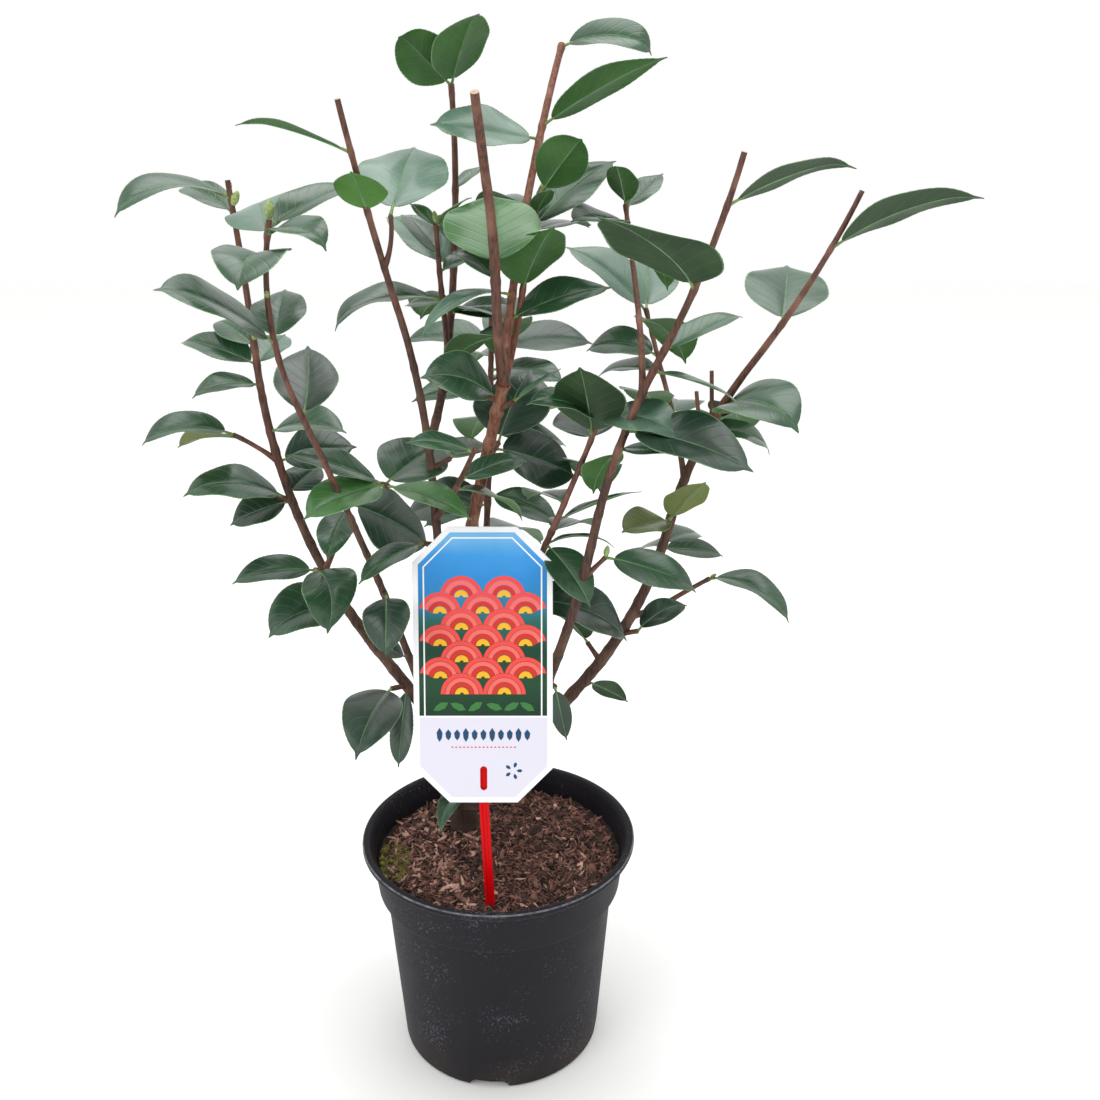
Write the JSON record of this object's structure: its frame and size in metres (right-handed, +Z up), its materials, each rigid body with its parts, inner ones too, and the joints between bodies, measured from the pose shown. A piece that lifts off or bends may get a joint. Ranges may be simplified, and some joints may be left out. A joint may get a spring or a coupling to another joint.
{
  "type": "potted camellia shrub",
  "caption": "A young camellia with open, upright stems and glossy oval leaves, in a round black nursery pot of bark soil with a plant label on a red stick",
  "frame": {"origin": "centre of the pot's flat underside", "axes": "+Z up, -Y the side the label faces, +X to the right of someone facing the label"},
  "size_m": [0.5294, 0.2962, 0.6896],
  "materials": {
    "pot": "thin moulded nursery plastic, slightly dusty",
    "soil": "dry bark and peat mulch, matte",
    "label_card": "printed card, satin",
    "label_stick": "glossy moulded plastic",
    "bark": "thin red-brown bark, matte",
    "foliage": "leathery leaf, satin above and matte below"
  },
  "bodies": {
    "root": {"bough_back": "bark", "bough_inner": "bark", "bough_left": "bark", "bough_left_front": "bark", "bough_main": "bark", "bough_mid_back": "bark", "bough_mid_left": "bark", "bough_right": "bark", "bough_right_front": "bark", "foliage_back": "foliage", "foliage_centre": "foliage", "foliage_foot_a": "foliage", "foliage_front_a": "foliage", "foliage_inner": "foliage", "foliage_inner_left": "foliage", "foliage_inner_mid": "foliage", "foliage_inner_right": "foliage", "foliage_left": "foliage", "foliage_left_a": "foliage", "foliage_left_b": "foliage", "foliage_left_c": "foliage", "foliage_left_d": "foliage", "foliage_left_e": "foliage", "foliage_left_front": "foliage", "foliage_low_right": "foliage", "foliage_main_a": "foliage", "foliage_main_b": "foliage", "foliage_main_c": "foliage", "foliage_mid_a": "foliage", "foliage_mid_b": "foliage", "foliage_mid_back": "foliage", "foliage_mid_left": "foliage", "foliage_right": "foliage", "foliage_right_a": "foliage", "foliage_right_b": "foliage", "foliage_right_c": "foliage", "foliage_right_d": "foliage", "foliage_right_e": "foliage", "foliage_right_f": "foliage", "foliage_right_front": "foliage", "foliage_right_g": "foliage", "foliage_top_back": "foliage", "foliage_top_front": "foliage", "foliage_top_right": "foliage", "label_card": "label_card", "label_stick": "label_stick", "pot": "pot", "soil": "soil", "trunk": "bark"}
  },
  "joints": []
}
